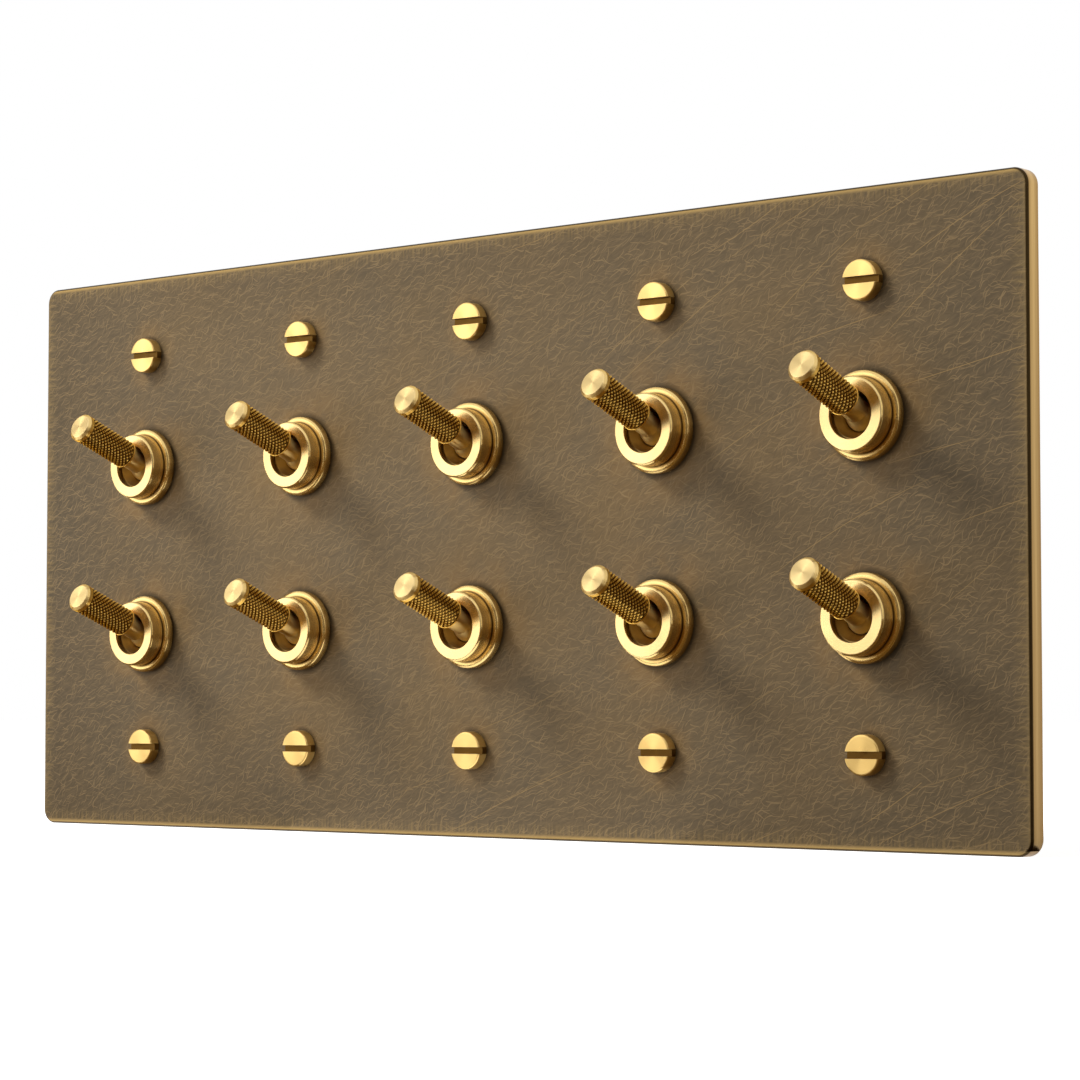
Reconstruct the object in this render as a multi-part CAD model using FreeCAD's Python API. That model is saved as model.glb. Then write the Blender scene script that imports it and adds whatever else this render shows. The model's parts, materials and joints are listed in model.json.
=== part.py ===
"""Ten-way brass dolly switch on one five-gang wall plate.

Frame: millimetres, +X along the plate, +Z up, +Y into the wall. The origin is the centre of the
plate's back face, so the plate stands in front of y = 0 and the switch bodies behind it.
Each switch is modelled on its own axis, which runs along Y through the origin, and then copied
to its place. Every dolly is drawn thrown up, as the photograph shows it.
"""

import FreeCAD, Part

import math
import os

from FreeCAD import Vector

# Plate
PLATE_WIDTH = 250.0
PLATE_HEIGHT = 117.0
PLATE_THICKNESS = 3.5
PLATE_CORNER_RADIUS = 3.0
PLATE_EDGE_ROUND = 0.6

# Layout
GANG_COUNT = 5
GANG_PITCH = 46.0
SWITCH_ROW_SPACING = 35.5
SCREW_ROW_SPACING = 83.3

# Clearances, radial unless a name says otherwise
THREAD_CLEARANCE = 0.05
HOLE_CLEARANCE = 0.15
RUNNING_CLEARANCE = 0.05
PRESS_CLEARANCE = 0.02
SWING_CLEARANCE = 0.25
SEAT_GAP = 0.05

# Plate screws
SCREW_HEAD_DIAMETER = 7.3
SCREW_HEAD_HEIGHT = 2.2
SCREW_HEAD_ROUND = 0.35
SCREW_SLOT_WIDTH = 1.3
SCREW_SLOT_DEPTH = 1.0
SCREW_DIAMETER = 3.5
SCREW_NECK_DIAMETER = 3.0
SCREW_REACH = 21.5
SCREW_POINT = 0.7
SCREW_HOLE_CLEARANCE = 0.35

# Collar in front of the plate: bezel washer, then ring nut
BEZEL_DIAMETER = 16.1
BEZEL_THICKNESS = 1.9
BEZEL_ROUND = 0.5
RING_DIAMETER = 13.5
RING_HEIGHT = 3.2
RING_CHAMFER = 0.3
RING_OPENING = 8.8
RING_LIP = 1.2
RING_MOUTH_BREAK = 0.12

# Bush
BUSH_DIAMETER = 11.4
BUSH_MOUTH_WALL = 1.5
BUSH_FLANGE_WIDTH = 0.95
BUSH_FLANGE_THICKNESS = 0.8

# Hex nut behind the plate
NUT_ACROSS_FLATS = 14.0
NUT_THICKNESS = 1.8
NUT_TO_BRACKET = 0.4

# Dolly
THROW_ANGLE = 22.0
PIVOT_DEPTH = 4.0
DOLLY_LENGTH = 20.0
GRIP_DIAMETER = 5.95
GRIP_END_DIAMETER = 4.86
GRIP_LENGTH = 14.3
GRIP_FOOT_BREAK = 0.5
KNURL_COUNT = 16
KNURL_PITCH = 1.35
KNURL_DEPTH = 0.25
KNURL_TIP_BAND = 0.45
KNURL_FOOT_BAND = 0.25
NECK_DIAMETER = 4.6
BALL_DIAMETER = 6.0
TAIL_DIAMETER = 3.2
TAIL_LENGTH = 15.0
TAIL_BORE_DIAMETER = 2.1
TAIL_BORE_DEPTH = 9.0
TAIL_BREAK = 0.2

# Pivot pin
PIN_DIAMETER = 1.5
PIN_SHORT_OF_BUSH = 0.25

# Plunger and spring
PLUNGER_PROJECTION = 2.0
PLUNGER_LENGTH = 6.0
SPRING_WIRE = 0.26
SPRING_TURNS = 4
SPRING_CHORDS_PER_TURN = 10

# Rocker contact
ROCKER_RATIO = 0.3
ROCKER_WIDTH = 6.0
ROCKER_THICKNESS = 0.8
ROCKER_HALF_ANGLE = 45.0
CONTACT_ANGLE = 38.0
CONTACT_RADIUS = 0.75
FULCRUM_RADIUS = 0.4

# Housing
HOUSING_WIDTH = 16.0
HOUSING_HEIGHT = 25.0
HOUSING_WALL = 1.3
HOUSING_BACK_WALL = 2.0
HOUSING_CORNER = 1.2

# Bracket
BRACKET_SHEET = 0.8
BRACKET_LEG_HEIGHT = 10.0
BRACKET_TAB = 3.3
BRACKET_BEND = 0.8

# Terminals
TERMINAL_WIDTH = 6.3
TERMINAL_SHEET = 0.8
TERMINAL_TAB_LENGTH = 9.0
TERMINAL_PAD_INNER = 5.2
TERMINAL_TAB_HEIGHT = 9.6
COMMON_PAD_HEIGHT = 6.0
CONTACT_POST_DIAMETER = 2.6
BINDING_HEAD_DIAMETER = 5.6
BINDING_HEAD_HEIGHT = 1.6
BINDING_SCREW_DIAMETER = 3.2
BINDING_SCREW_REACH = 2.6
BINDING_SLOT_WIDTH = 0.9
BINDING_SLOT_DEPTH = 0.7

# Places along Y worked out from the sizes above
PLATE_FRONT = -PLATE_THICKNESS
BEZEL_FRONT = PLATE_FRONT - BEZEL_THICKNESS
RING_FRONT = BEZEL_FRONT - RING_HEIGHT
BUSH_FRONT = RING_FRONT + RING_LIP + SEAT_GAP
PIVOT_Y = RING_FRONT + PIVOT_DEPTH
BRACKET_FRONT = NUT_THICKNESS + NUT_TO_BRACKET
HOUSING_FRONT = BRACKET_FRONT + BRACKET_SHEET
BUSH_BACK = HOUSING_FRONT + BUSH_FLANGE_THICKNESS

# Radii
BUSH_RADIUS = BUSH_DIAMETER / 2
BUSH_FLANGE_RADIUS = BUSH_RADIUS + BUSH_FLANGE_WIDTH
THREAD_BORE = BUSH_RADIUS + THREAD_CLEARANCE
PLATE_HOLE = BUSH_RADIUS + HOLE_CLEARANCE
NECK_RADIUS = NECK_DIAMETER / 2
BALL_RADIUS = BALL_DIAMETER / 2
TAIL_RADIUS = TAIL_DIAMETER / 2
GRIP_RADIUS = GRIP_DIAMETER / 2
PIN_RADIUS = PIN_DIAMETER / 2
BORE_RADIUS = TAIL_BORE_DIAMETER / 2
PLUNGER_RADIUS = BORE_RADIUS - RUNNING_CLEARANCE
SPRING_RADIUS = BORE_RADIUS - RUNNING_CLEARANCE - SPRING_WIRE / 2

# The plunger tip swings about the dolly pivot and the rocker tips about its fulcrum
TIP_REACH = TAIL_LENGTH + PLUNGER_PROJECTION
TIP_CENTRE_REACH = TIP_REACH - PLUNGER_RADIUS
FULCRUM_REACH = TIP_REACH + SEAT_GAP + ROCKER_THICKNESS + SEAT_GAP
FULCRUM_Y = PIVOT_Y + FULCRUM_REACH
ROCKER_ANGLE = THROW_ANGLE * ROCKER_RATIO

X_AXIS = Vector(1, 0, 0)
Y_AXIS = Vector(0, 1, 0)
Z_AXIS = Vector(0, 0, 1)
ORIGIN = Vector(0, 0, 0)
PIVOT = Vector(0, PIVOT_Y, 0)
FULCRUM = Vector(0, FULCRUM_Y, 0)


def turned(points):
    """A solid of revolution about Y, from (radius, y) corners."""
    corners = [Vector(radius, y, 0) for radius, y in points]
    return Part.Face(Part.makePolygon(corners + corners[:1])).revolve(ORIGIN, Y_AXIS, 360)


def rod(radius, start, length, axis):
    """A round bar from a point along an axis."""
    return Part.makeCylinder(radius, length, start, axis)


def block(x_range, y_range, z_range):
    """A box between two limits on each axis."""
    low = Vector(x_range[0], y_range[0], z_range[0])
    sides = [high - start for start, high in (x_range, y_range, z_range)]
    return Part.makeBox(*sides, low)


def extruded(yz_points, width):
    """A prism along X, centred on x = 0, from (y, z) corners."""
    corners = [Vector(-width / 2, y, z) for y, z in yz_points]
    return Part.Face(Part.makePolygon(corners + corners[:1])).extrude(Vector(width, 0, 0))


def circles_at(solid, radius, y):
    """The round edges of a turned solid at one radius and one place along Y."""
    found = []
    for edge in solid.Edges:
        curve = edge.Curve
        round_edge = isinstance(curve, Part.Circle) and abs(curve.Radius - radius) < 1e-6
        if round_edge and abs(curve.Center.y - y) < 1e-6:
            found.append(edge)
    return found


def edges_along(solid, axis):
    """The straight edges of a solid that run along an axis."""
    found = []
    for edge in solid.Edges:
        if isinstance(edge.Curve, Part.Line) and abs(abs(edge.Curve.Direction.dot(axis)) - 1) < 1e-9:
            found.append(edge)
    return found


def turn(shape, centre, degrees):
    """A copy turned about an X axis through a centre."""
    moved = shape.copy()
    moved.rotate(centre, X_AXIS, degrees)
    return moved


def solid_of(polygons):
    """A solid from flat polygons that close round it, each a list of corners."""
    faces = [Part.Face(Part.makePolygon(corners + corners[:1])) for corners in polygons]
    shell = Part.makeShell(faces)
    shell.sewShape()
    return Part.makeSolid(shell)


def switch_places():
    """The centre of each switch on the plate, top row first, left to right."""
    places = []
    for row in (1, -1):
        for column in range(GANG_COUNT):
            x = (column - (GANG_COUNT - 1) / 2) * GANG_PITCH
            places.append(Vector(x, 0, row * SWITCH_ROW_SPACING / 2))
    return places


def screw_places():
    """The centre of each plate screw, top row first, left to right."""
    places = []
    for row in (1, -1):
        for switch in switch_places()[:GANG_COUNT]:
            places.append(Vector(switch.x, 0, row * SCREW_ROW_SPACING / 2))
    return places


def copies(shape, places):
    """One solid at each place, as a group of separate solids."""
    return Part.makeCompound([shape.translated(place) for place in places])


def face_plate():
    """Sheet with rounded corners, an eased front edge and holes for the bushes and screws."""
    half_width = PLATE_WIDTH / 2
    half_height = PLATE_HEIGHT / 2
    sheet = block((-half_width, half_width), (PLATE_FRONT, 0), (-half_height, half_height))
    sheet = sheet.makeFillet(PLATE_CORNER_RADIUS, edges_along(sheet, Y_AXIS))
    front = [edge for edge in sheet.Edges if abs(edge.BoundBox.YMax - PLATE_FRONT) < 1e-6]
    sheet = sheet.makeFillet(PLATE_EDGE_ROUND, front)
    start = Vector(0, PLATE_FRONT, 0)
    switch_hole = rod(PLATE_HOLE, start, PLATE_THICKNESS, Y_AXIS)
    screw_hole = rod(SCREW_DIAMETER / 2 + SCREW_HOLE_CLEARANCE, start, PLATE_THICKNESS, Y_AXIS)
    holes = [switch_hole.translated(place) for place in switch_places()]
    holes += [screw_hole.translated(place) for place in screw_places()]
    return sheet.cut(holes)


def plate_screw():
    """Cheese-head screw with a level slot, necked where it passes through the plate."""
    head_radius = SCREW_HEAD_DIAMETER / 2
    head_front = PLATE_FRONT - SCREW_HEAD_HEIGHT
    shank_radius = SCREW_DIAMETER / 2
    screw = turned([
        (0, head_front),
        (head_radius, head_front),
        (head_radius, PLATE_FRONT),
        (SCREW_NECK_DIAMETER / 2, PLATE_FRONT),
        (SCREW_NECK_DIAMETER / 2, 0),
        (shank_radius, 0),
        (shank_radius, SCREW_REACH - SCREW_POINT),
        (shank_radius - SCREW_POINT, SCREW_REACH),
        (0, SCREW_REACH),
    ])
    screw = screw.makeFillet(SCREW_HEAD_ROUND, circles_at(screw, head_radius, head_front))
    slot = block(
        (-head_radius, head_radius),
        (head_front, head_front + SCREW_SLOT_DEPTH),
        (-SCREW_SLOT_WIDTH / 2, SCREW_SLOT_WIDTH / 2),
    )
    return screw.cut(slot)


def bezel_washer():
    """Flanged dress washer that the ring nut stands on."""
    bore = BUSH_RADIUS + HOLE_CLEARANCE
    radius = BEZEL_DIAMETER / 2
    washer = turned([
        (bore, BEZEL_FRONT),
        (radius, BEZEL_FRONT),
        (radius, PLATE_FRONT),
        (bore, PLATE_FRONT),
    ])
    return washer.makeFillet(BEZEL_ROUND, circles_at(washer, radius, BEZEL_FRONT))


def ring_nut():
    """Round dress nut whose lip covers the end of the bush."""
    radius = RING_DIAMETER / 2
    mouth = RING_OPENING / 2
    lip_back = RING_FRONT + RING_LIP
    return turned([
        (mouth + RING_MOUTH_BREAK, RING_FRONT),
        (radius - RING_CHAMFER, RING_FRONT),
        (radius, RING_FRONT + RING_CHAMFER),
        (radius, BEZEL_FRONT),
        (THREAD_BORE, BEZEL_FRONT),
        (THREAD_BORE, lip_back),
        (mouth, lip_back),
        (mouth, RING_FRONT + RING_MOUTH_BREAK),
    ])


def swing_radius(distance, radius):
    """How far from the axis a bar of this radius reaches at full throw, this far from the pivot."""
    throw = math.radians(THROW_ANGLE)
    return distance * math.tan(throw) + radius / math.cos(throw)


def threaded_bush():
    """Bush with a cup in front, a seat for the ball and a flare that the tail swings in."""
    seat = BALL_RADIUS + RUNNING_CLEARANCE
    seat_half = BALL_RADIUS / 3
    flare = swing_radius(BUSH_BACK - PIVOT_Y, TAIL_RADIUS) + SWING_CLEARANCE
    bush = turned([
        (BUSH_RADIUS - BUSH_MOUTH_WALL, BUSH_FRONT),
        (BUSH_RADIUS, BUSH_FRONT),
        (BUSH_RADIUS, HOUSING_FRONT),
        (BUSH_FLANGE_RADIUS, HOUSING_FRONT),
        (BUSH_FLANGE_RADIUS, BUSH_BACK),
        (flare, BUSH_BACK),
        (seat, PIVOT_Y + seat_half),
        (seat, PIVOT_Y - seat_half),
    ])
    pin_hole = rod(PIN_RADIUS + PRESS_CLEARANCE, PIVOT - X_AXIS * BUSH_RADIUS, BUSH_DIAMETER, X_AXIS)
    return bush.cut(pin_hole)


def hex_nut():
    """Thin nut against the back of the plate, its corners eased on both faces."""
    corner = NUT_ACROSS_FLATS / 2 / math.cos(math.pi / 6)
    ease = (corner - NUT_ACROSS_FLATS / 2) * math.tan(math.pi / 6)
    points = []
    for side in range(7):
        angle = side * math.pi / 3
        points.append(Vector(corner * math.cos(angle), 0, corner * math.sin(angle)))
    prism = Part.Face(Part.makePolygon(points)).extrude(Vector(0, NUT_THICKNESS, 0))
    envelope = turned([
        (THREAD_BORE, 0),
        (NUT_ACROSS_FLATS / 2, 0),
        (corner, ease),
        (corner, NUT_THICKNESS - ease),
        (NUT_ACROSS_FLATS / 2, NUT_THICKNESS),
        (THREAD_BORE, NUT_THICKNESS),
    ])
    return prism.common(envelope)


def pivot_pin():
    """Cross pin pressed into the bush."""
    half = BUSH_RADIUS - PIN_SHORT_OF_BUSH
    return rod(PIN_RADIUS, PIVOT - X_AXIS * half, 2 * half, X_AXIS)


def knurl_point(column, row, rows, start, end):
    """A corner of the knurl, raised where a diamond has its peak and low along the grooves."""
    peak = (row + column) % 2 == 1 and 0 < row < rows
    radius = GRIP_RADIUS if peak else GRIP_RADIUS - KNURL_DEPTH
    angle = math.pi * column / KNURL_COUNT
    along = start + (end - start) * row / rows
    return Vector(radius * math.cos(angle), along, radius * math.sin(angle))


def knurled_band(start, end):
    """Diamond knurl between two places along Y: rows of low pyramids, with half ones at the ends."""
    columns = 2 * KNURL_COUNT
    rows = 2 * max(1, round((end - start) / KNURL_PITCH))

    def corner(column, row):
        return knurl_point(column, row, rows, start, end)

    polygons = []
    for row in range(rows + 1):
        for column in range(1 - row % 2, columns, 2):
            west = corner(column - 1, row)
            east = corner(column + 1, row)
            south = corner(column, row - 1)
            north = corner(column, row + 1)
            peak = corner(column, row)
            if row > 0:
                polygons += [[west, south, peak], [south, east, peak]]
            if row < rows:
                polygons += [[east, north, peak], [north, west, peak]]
    for row in (0, rows):
        polygons.append([corner(column, row) for column in range(columns)])
    return solid_of(polygons)


def dolly():
    """Turned lever: knurled grip, neck, ball and a bored tail, thrown up about the pivot."""
    grip_end_radius = GRIP_END_DIAMETER / 2
    tip = PIVOT_Y - DOLLY_LENGTH
    grip_foot = tip + GRIP_LENGTH
    end_break = GRIP_RADIUS - grip_end_radius
    knurl_start = tip + end_break + KNURL_TIP_BAND
    knurl_end = grip_foot - GRIP_FOOT_BREAK - KNURL_FOOT_BAND
    tail_end = PIVOT_Y + TAIL_LENGTH
    neck_meets_ball = PIVOT_Y - math.sqrt(BALL_RADIUS**2 - NECK_RADIUS**2)
    tail_meets_ball = PIVOT_Y + math.sqrt(BALL_RADIUS**2 - TAIL_RADIUS**2)
    cap = turned([
        (0, tip),
        (grip_end_radius, tip),
        (GRIP_RADIUS, tip + end_break),
        (GRIP_RADIUS, knurl_start),
        (0, knurl_start),
    ])
    neck = [
        (0, knurl_end),
        (GRIP_RADIUS, knurl_end),
        (GRIP_RADIUS, grip_foot - GRIP_FOOT_BREAK),
        (GRIP_RADIUS - GRIP_FOOT_BREAK, grip_foot),
        (NECK_RADIUS, grip_foot),
        (NECK_RADIUS, neck_meets_ball),
    ]
    tail = [
        (TAIL_RADIUS, tail_meets_ball),
        (TAIL_RADIUS, tail_end - TAIL_BREAK),
        (TAIL_RADIUS - TAIL_BREAK, tail_end),
        (BORE_RADIUS, tail_end),
        (BORE_RADIUS, tail_end - TAIL_BORE_DEPTH),
        (0, tail_end - TAIL_BORE_DEPTH),
        (0, knurl_end),
    ]
    front = Part.makePolygon([Vector(radius, y, 0) for radius, y in neck])
    back = Part.makePolygon([Vector(radius, y, 0) for radius, y in tail])
    ball = Part.Arc(
        Vector(NECK_RADIUS, neck_meets_ball, 0),
        Vector(BALL_RADIUS, PIVOT_Y, 0),
        Vector(TAIL_RADIUS, tail_meets_ball, 0),
    ).toShape()
    profile = Part.Wire(Part.__sortEdges__(front.Edges + [ball] + back.Edges))
    shaft = Part.Face(profile).revolve(ORIGIN, Y_AXIS, 360)
    pin_hole = rod(PIN_RADIUS + RUNNING_CLEARANCE, PIVOT - X_AXIS * BALL_RADIUS, BALL_DIAMETER, X_AXIS)
    lever = shaft.cut(pin_hole).fuse([knurled_band(knurl_start, knurl_end), cap])
    return turn(lever, PIVOT, -THROW_ANGLE)


def plunger():
    """Round-nosed plunger in the tail's bore."""
    nose_centre = PIVOT_Y + TIP_CENTRE_REACH
    start = PIVOT_Y + TIP_REACH - PLUNGER_LENGTH
    stem = rod(PLUNGER_RADIUS, Vector(0, start, 0), nose_centre - start, Y_AXIS)
    nose = Part.makeSphere(PLUNGER_RADIUS, Vector(0, nose_centre, 0))
    return turn(stem.fuse(nose).removeSplitter(), PIVOT, -THROW_ANGLE)


def coil_section(turns, along):
    """The four corners of the spring's square wire, this many turns round and this far along Y."""
    half = SPRING_WIRE / 2
    angle = 2 * math.pi * turns
    corners = []
    for out, side in ((-half, -half), (half, -half), (half, half), (-half, half)):
        radius = SPRING_RADIUS + out
        corners.append(Vector(radius * math.cos(angle), along + side, radius * math.sin(angle)))
    return corners


def spring():
    """Compression spring between the bore's end and the plunger, coiled in short straight chords."""
    low = PIVOT_Y + TAIL_LENGTH - TAIL_BORE_DEPTH + SPRING_WIRE / 2 + SEAT_GAP
    high = PIVOT_Y + TIP_REACH - PLUNGER_LENGTH - SPRING_WIRE / 2 - SEAT_GAP
    chords = SPRING_TURNS * SPRING_CHORDS_PER_TURN
    sections = []
    for step in range(chords + 1):
        share = step / chords
        sections.append(coil_section(SPRING_TURNS * share, low + (high - low) * share))
    polygons = [sections[0], sections[-1]]
    for near, far in zip(sections, sections[1:]):
        for corner in range(4):
            following = (corner + 1) % 4
            polygons.append([near[corner], near[following], far[following]])
            polygons.append([near[corner], far[following], far[corner]])
    return turn(solid_of(polygons), PIVOT, -THROW_ANGLE)


def tip_in_rocker(throw_degrees):
    """Centre of the plunger's nose as the rocker sees it, as (y, z) from the fulcrum."""
    throw = math.radians(throw_degrees)
    tilt = throw * ROCKER_RATIO
    y = TIP_CENTRE_REACH * math.cos(throw) - FULCRUM_REACH
    z = -TIP_CENTRE_REACH * math.sin(throw)
    return y * math.cos(tilt) + z * math.sin(tilt), z * math.cos(tilt) - y * math.sin(tilt)


def nose_path_radius():
    """Radius of the circle that the nose follows on the rocker, from mid throw to full throw."""
    mid_y, _ = tip_in_rocker(0)
    end_y, end_z = tip_in_rocker(THROW_ANGLE)
    sag = mid_y - end_y
    return (sag**2 + end_z**2) / (2 * sag)


def saddle_centre():
    """Centre of the rocker's curve, as a distance in front of the fulcrum."""
    mid_y, _ = tip_in_rocker(0)
    return nose_path_radius() - mid_y


def contact_centre(side):
    """Centre of a rocker contact as the rocker sees it, as (y, z) from the fulcrum."""
    angle = math.radians(CONTACT_ANGLE)
    back = saddle_back_radius()
    return back * math.cos(angle) - saddle_centre(), side * back * math.sin(angle)


def saddle_face_radius():
    """Radius of the rocker's hollow face."""
    return nose_path_radius() + PLUNGER_RADIUS + SEAT_GAP


def saddle_back_radius():
    """Radius of the rocker's back."""
    return saddle_face_radius() + ROCKER_THICKNESS


def rocker():
    """Curved see-saw contact: a saddle strip with two domed contacts, tipped by the plunger."""
    centre = Vector(-ROCKER_WIDTH / 2, FULCRUM_Y - saddle_centre(), 0)
    outer = Part.makeCylinder(saddle_back_radius(), ROCKER_WIDTH, centre, X_AXIS)
    inner = Part.makeCylinder(saddle_face_radius(), ROCKER_WIDTH, centre, X_AXIS)
    reach = 2 * saddle_back_radius()
    half = math.radians(ROCKER_HALF_ANGLE)
    apex = centre.y
    wedge = extruded([
        (apex, 0),
        (apex + reach * math.cos(half), reach * math.sin(half)),
        (apex + reach * math.cos(half), -reach * math.sin(half)),
    ], ROCKER_WIDTH)
    strip = outer.cut(inner).common(wedge)
    domes = []
    for side in (1, -1):
        y, z = contact_centre(side)
        domes.append(Part.makeSphere(CONTACT_RADIUS, Vector(0, FULCRUM_Y + y, z)))
    strip = strip.fuse(domes).cut(inner)
    groove_start = FULCRUM - X_AXIS * ROCKER_WIDTH
    groove = rod(FULCRUM_RADIUS + RUNNING_CLEARANCE, groove_start, 2 * ROCKER_WIDTH, X_AXIS)
    return turn(strip.cut(groove), FULCRUM, ROCKER_ANGLE)


def contact_post_face():
    """Place along Y where a fixed contact meets the tipped rocker, and its height."""
    y, z = contact_centre(1)
    tilt = math.radians(ROCKER_ANGLE)
    meet_y = y * math.cos(tilt) + z * math.sin(tilt)
    meet_z = z * math.cos(tilt) - y * math.sin(tilt)
    return FULCRUM_Y + meet_y + CONTACT_RADIUS + SEAT_GAP, meet_z


def pad_front():
    """Place along Y of the front of the terminal pads, behind the rocker's contacts and fulcrum."""
    return FULCRUM_Y + FULCRUM_RADIUS + SEAT_GAP


def floor_y():
    """Place along Y of the housing's inside back face, which the terminal pads lie on."""
    return pad_front() + TERMINAL_SHEET


def housing_back():
    """Place along Y of the housing's outside back face."""
    return floor_y() + HOUSING_BACK_WALL


def tab_end():
    """Place along Y of the free ends of the terminals."""
    return housing_back() + TERMINAL_TAB_LENGTH


def switch_housing():
    """Moulded case, open in front, with slots for the terminals in its back wall."""
    half_width = HOUSING_WIDTH / 2
    half_height = HOUSING_HEIGHT / 2
    case = block((-half_width, half_width), (HOUSING_FRONT, housing_back()), (-half_height, half_height))
    case = case.makeFillet(HOUSING_CORNER, edges_along(case, Y_AXIS))
    inner_width = half_width - HOUSING_WALL
    inner_height = half_height - HOUSING_WALL
    cavity = block((-inner_width, inner_width), (HOUSING_FRONT, floor_y()), (-inner_height, inner_height))
    slot_half = TERMINAL_WIDTH / 2 + RUNNING_CLEARANCE
    slots = []
    for height in (-TERMINAL_TAB_HEIGHT, 0, TERMINAL_TAB_HEIGHT):
        low = height - TERMINAL_SHEET / 2 - RUNNING_CLEARANCE
        high = height + TERMINAL_SHEET / 2 + RUNNING_CLEARANCE
        slots.append(block((-slot_half, slot_half), (floor_y(), housing_back()), (low, high)))
    return case.cut([cavity] + slots)


def bracket():
    """Folded steel strap: a web under the bush's flange and two legs crimped over the case."""
    inside = HOUSING_WIDTH / 2 + SEAT_GAP
    outside = inside + BRACKET_SHEET
    back = housing_back() + SEAT_GAP
    leg_half = BRACKET_LEG_HEIGHT / 2
    wrap = block((-outside, outside), (BRACKET_FRONT, back + BRACKET_SHEET), (-leg_half, leg_half))
    wrap = wrap.makeFillet(BRACKET_BEND, edges_along(wrap, Z_AXIS))
    wrap = wrap.cut(block((-inside, inside), (HOUSING_FRONT, back), (-leg_half, leg_half)))
    gap = outside - BRACKET_TAB
    wrap = wrap.cut(block((-gap, gap), (back, back + BRACKET_SHEET), (-leg_half, leg_half)))
    half_width = HOUSING_WIDTH / 2
    half_height = HOUSING_HEIGHT / 2
    web = block((-half_width, half_width), (BRACKET_FRONT, HOUSING_FRONT), (-half_height, half_height))
    web = web.makeFillet(HOUSING_CORNER, edges_along(web, Y_AXIS))
    hole = rod(THREAD_BORE, Vector(0, BRACKET_FRONT, 0), BRACKET_SHEET, Y_AXIS)
    return wrap.fuse(web).removeSplitter().cut(hole)


def side_terminal(side):
    """Upper or lower terminal: a pad with a contact post, and a tab through the back wall."""
    tab_low = TERMINAL_TAB_HEIGHT - TERMINAL_SHEET / 2
    tab_high = TERMINAL_TAB_HEIGHT + TERMINAL_SHEET / 2
    strip = extruded([
        (pad_front(), TERMINAL_PAD_INNER),
        (floor_y(), TERMINAL_PAD_INNER),
        (floor_y(), tab_low),
        (tab_end(), tab_low),
        (tab_end(), tab_high),
        (pad_front(), tab_high),
    ], TERMINAL_WIDTH)
    face, height = contact_post_face()
    post = rod(CONTACT_POST_DIAMETER / 2, Vector(0, face, height), floor_y() - face, Y_AXIS)
    strip = strip.fuse(post).removeSplitter().cut(binding_hole(TERMINAL_TAB_HEIGHT))
    if side < 0:
        strip = strip.mirror(ORIGIN, Z_AXIS)
    return strip


def common_terminal():
    """Middle terminal: a pad with the rocker's fulcrum ridge, and a tab through the back wall."""
    half_pad = COMMON_PAD_HEIGHT / 2
    half_tab = TERMINAL_SHEET / 2
    strip = extruded([
        (pad_front(), -half_pad),
        (floor_y(), -half_pad),
        (floor_y(), -half_tab),
        (tab_end(), -half_tab),
        (tab_end(), half_tab),
        (floor_y(), half_tab),
        (floor_y(), half_pad),
        (pad_front(), half_pad),
    ], TERMINAL_WIDTH)
    half_width = TERMINAL_WIDTH / 2
    ridge = rod(FULCRUM_RADIUS, FULCRUM - X_AXIS * half_width, TERMINAL_WIDTH, X_AXIS)
    web = block((-half_width, half_width), (FULCRUM_Y, floor_y()), (-FULCRUM_RADIUS, FULCRUM_RADIUS))
    return strip.fuse([ridge, web]).removeSplitter().cut(binding_hole(0))


def binding_y():
    """Place along Y of the binding screws on the terminal tabs."""
    return housing_back() + TERMINAL_TAB_LENGTH / 2 + BRACKET_SHEET / 2


def binding_hole(height):
    """Hole in a terminal tab for its binding screw."""
    radius = BINDING_SCREW_DIAMETER / 2 + THREAD_CLEARANCE
    start = Vector(0, binding_y(), height - TERMINAL_SHEET)
    return rod(radius, start, 2 * TERMINAL_SHEET, Z_AXIS)


def binding_screw(height, side):
    """Slotted binding screw on a terminal tab, its head on the outer side."""
    seat = TERMINAL_SHEET / 2
    head = rod(BINDING_HEAD_DIAMETER / 2, Vector(0, binding_y(), seat), BINDING_HEAD_HEIGHT, Z_AXIS)
    tip = -seat - BINDING_SCREW_REACH
    shank = rod(BINDING_SCREW_DIAMETER / 2, Vector(0, binding_y(), tip), seat - tip, Z_AXIS)
    top = seat + BINDING_HEAD_HEIGHT
    half_head = BINDING_HEAD_DIAMETER / 2
    slot = block(
        (-half_head, half_head),
        (binding_y() - BINDING_SLOT_WIDTH / 2, binding_y() + BINDING_SLOT_WIDTH / 2),
        (top - BINDING_SLOT_DEPTH, top),
    )
    screw = head.fuse(shank).removeSplitter().cut(slot)
    if side < 0:
        screw = screw.mirror(ORIGIN, Z_AXIS)
    return screw.translated(Vector(0, 0, height))


def terminal_set():
    """The three terminals of one switch."""
    return [side_terminal(1), common_terminal(), side_terminal(-1)]


def binding_screw_set():
    """The three binding screws of one switch."""
    return [
        binding_screw(TERMINAL_TAB_HEIGHT, 1),
        binding_screw(0, 1),
        binding_screw(-TERMINAL_TAB_HEIGHT, -1),
    ]


def grouped(shapes, places):
    """Every shape at every place, as a group of separate solids."""
    return Part.makeCompound([shape.translated(place) for place in places for shape in shapes])


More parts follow.
